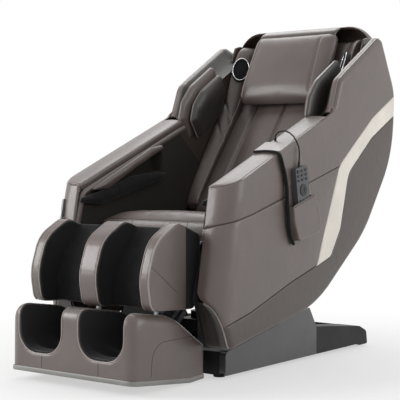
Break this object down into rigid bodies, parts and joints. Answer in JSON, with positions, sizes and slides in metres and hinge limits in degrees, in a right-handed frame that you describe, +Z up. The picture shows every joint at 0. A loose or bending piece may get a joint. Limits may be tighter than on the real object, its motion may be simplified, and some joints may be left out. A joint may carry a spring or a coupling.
{
  "type": "massage chair",
  "caption": "Full-body reclining massage chair: padded capsule on a low base, lifting calf unit, extending foot unit, shoulder and arm airbags, hand control.",
  "frame": {"origin": "on the floor, under the middle of the whole chair's footprint", "axes": "+Z up; the sitter faces -Y; +X is at the sitter's left, where the hand control hangs"},
  "size_m": [0.7882, 1.4112, 1.222],
  "materials": {
    "shell_leather": "smooth satin leather",
    "dark_leather": "smooth satin leather",
    "cushion_leather": "soft satin leather",
    "stripe_leather": "smooth cream leather",
    "black_fabric": "knitted matte",
    "frame_paint": "satin powder coat",
    "bright_steel": "ground",
    "bush_bronze": "plain",
    "grey_cover": "metallic grey",
    "black_plastic": "fine grain",
    "foot_rubber": "matte",
    "motor_grey": "satin",
    "roller_plastic": "smooth",
    "remote_grey": "satin metallic",
    "key_plastic": "silicone",
    "white_key": "smooth",
    "lead_rubber": "satin"
  },
  "bodies": {
    "base": {"base_frame": "frame_paint", "pivot_bushes": "bush_bronze", "base_cover_left": "grey_cover", "base_cover_right": "grey_cover", "base_front_cover": "black_plastic", "rear_foot_cover": "black_plastic", "rubber_feet": "foot_rubber", "power_box": "black_plastic", "air_pump": "black_plastic", "control_box": "motor_grey"},
    "power_switch": {"power_switch": "black_plastic"},
    "seat_body": {"seat_frame": "frame_paint", "seat_pan": "frame_paint", "track_rails": "bright_steel", "front_shell_left": "shell_leather", "front_shell_right": "shell_leather", "side_stripe_left": "stripe_leather", "side_stripe_right": "stripe_leather", "rear_shell_left": "dark_leather", "rear_shell_right": "dark_leather", "back_shell": "dark_leather", "top_cap": "dark_leather", "arm_liner_left": "cushion_leather", "arm_liner_right": "cushion_leather", "arm_top_left": "shell_leather", "arm_top_right": "shell_leather", "arm_airbags": "black_fabric", "seat_cushion": "cushion_leather", "back_cushion": "cushion_leather", "back_bolsters": "cushion_leather", "shoulder_airbag_left": "dark_leather", "shoulder_airbag_right": "dark_leather", "speakers": "black_plastic", "remote_pocket": "shell_leather", "remote_body": "remote_grey", "remote_cable": "lead_rubber", "cable_glands": "lead_rubber", "quick_panel": "black_plastic"},
    "recline_tube": {"recline_actuator_tube": "motor_grey"},
    "recline_rod": {"recline_actuator_rod": "bright_steel"},
    "legrest_tube": {"legrest_actuator_tube": "motor_grey"},
    "legrest_rod": {"legrest_actuator_rod": "bright_steel"},
    "calf_unit": {"calf_frame": "frame_paint", "calf_cover": "shell_leather", "calf_lining": "black_fabric"},
    "foot_unit": {"foot_frame": "bright_steel", "foot_cover": "shell_leather", "foot_lining": "black_fabric"},
    "foot_rollers": {"foot_roller_shaft": "roller_plastic"},
    "head_pillow": {"head_pillow": "cushion_leather"},
    "massage_carriage": {"massage_carriage": "motor_grey"},
    "massage_arm_left": {"massage_arm_left": "motor_grey"},
    "massage_arm_right": {"massage_arm_right": "motor_grey"},
    "roller_upper_left": {"roller_upper_left": "roller_plastic"},
    "roller_upper_right": {"roller_upper_right": "roller_plastic"},
    "roller_lower_left": {"roller_lower_left": "roller_plastic"},
    "roller_lower_right": {"roller_lower_right": "roller_plastic"},
    "quick_key": {"quick_key": "white_key"},
    "remote_nav_pad": {"remote_nav_pad": "key_plastic"},
    "remote_power_key": {"remote_power_key": "key_plastic"}
  },
  "joints": [
    {"name": "power_rocker", "type": "hinge", "parent": "base", "child": "power_switch", "pos_m": [0.00085, 0.54615, 0.084], "axis": [-1, 0, 0], "range_deg": [0, 14]},
    {"name": "recline", "type": "hinge", "parent": "base", "child": "seat_body", "pos_m": [-0.01915, -0.05085, 0.33], "axis": [-1, 0, 0], "range_deg": [0, 25]},
    {"name": "recline_swing", "type": "hinge", "parent": "base", "child": "recline_tube", "pos_m": [-0.08915, -0.23085, 0.075], "axis": [-1, 0, 0], "range_deg": [0, 10]},
    {"name": "recline_stroke", "type": "slide", "parent": "recline_tube", "child": "recline_rod", "axis": [0, 0.7828, 0.6222], "range_m": [-0.05, 0]},
    {"name": "legrest", "type": "hinge", "parent": "seat_body", "child": "calf_unit", "pos_m": [-0.01915, -0.33085, 0.43], "axis": [-1, 0, 0], "range_deg": [0, 80]},
    {"name": "legrest_swing", "type": "hinge", "parent": "seat_body", "child": "legrest_tube", "pos_m": [0.05085, -0.04085, 0.36], "axis": [-1, 0, 0], "range_deg": [0, 9]},
    {"name": "legrest_stroke", "type": "slide", "parent": "legrest_tube", "child": "legrest_rod", "axis": [0, -0.9982, 0.0592], "range_m": [0, 0.05]},
    {"name": "foot_extension", "type": "slide", "parent": "calf_unit", "child": "foot_unit", "axis": [0, -0.1097, -0.994], "range_m": [0, 0.12]},
    {"name": "foot_roller_spin", "type": "hinge", "parent": "foot_unit", "child": "foot_rollers", "pos_m": [-0.01915, -0.59085, 0.051], "axis": [1, 0, 0], "continuous": true},
    {"name": "pillow_flap", "type": "hinge", "parent": "seat_body", "child": "head_pillow", "pos_m": [-0.01915, 0.63515, 1.216], "axis": [-1, 0, 0], "range_deg": [0, 110]},
    {"name": "massage_travel", "type": "slide", "parent": "seat_body", "child": "massage_carriage", "axis": [0, 0.6129, 0.7902], "range_m": [-0.06, 0.27]},
    {"name": "knead_left", "type": "hinge", "parent": "massage_carriage", "child": "massage_arm_left", "pos_m": [0.03685, 0.39172, 0.60597], "axis": [1, 0, 0], "range_deg": [-4, 4]},
    {"name": "knead_right", "type": "hinge", "parent": "massage_carriage", "child": "massage_arm_right", "pos_m": [-0.07515, 0.39172, 0.60597], "axis": [1, 0, 0], "range_deg": [-4, 4]},
    {"name": "spin_upper_left", "type": "hinge", "parent": "massage_arm_left", "child": "roller_upper_left", "pos_m": [0.05485, 0.41182, 0.66125], "axis": [1, 0, 0], "continuous": true},
    {"name": "spin_lower_left", "type": "hinge", "parent": "massage_arm_left", "child": "roller_lower_left", "pos_m": [0.05485, 0.34195, 0.57117], "axis": [1, 0, 0], "continuous": true},
    {"name": "spin_upper_right", "type": "hinge", "parent": "massage_arm_right", "child": "roller_upper_right", "pos_m": [-0.09315, 0.41182, 0.66125], "axis": [1, 0, 0], "continuous": true},
    {"name": "spin_lower_right", "type": "hinge", "parent": "massage_arm_right", "child": "roller_lower_right", "pos_m": [-0.09315, 0.34195, 0.57117], "axis": [1, 0, 0], "continuous": true},
    {"name": "quick_key_press", "type": "slide", "parent": "seat_body", "child": "quick_key", "axis": [0.5878, 0.795, -0.1502], "range_m": [0, 0.0015], "stiffness_N_per_m": 400},
    {"name": "nav_pad_press", "type": "slide", "parent": "seat_body", "child": "remote_nav_pad", "axis": [-1, 0, 0], "range_m": [0, 0.0015], "stiffness_N_per_m": 500},
    {"name": "power_key_press", "type": "slide", "parent": "seat_body", "child": "remote_power_key", "axis": [-1, 0, 0], "range_m": [0, 0.0015], "stiffness_N_per_m": 400}
  ],
  "couplings": [
    {"joint": "recline_swing", "follows": "recline", "ratio": 0.3884},
    {"joint": "recline_stroke", "follows": "recline", "m_per_rad": -0.10826},
    {"joint": "legrest_swing", "follows": "legrest", "ratio": 0.1082},
    {"joint": "legrest_stroke", "follows": "legrest", "m_per_rad": 0.0346},
    {"joint": "knead_right", "follows": "knead_left", "ratio": -1}
  ]
}
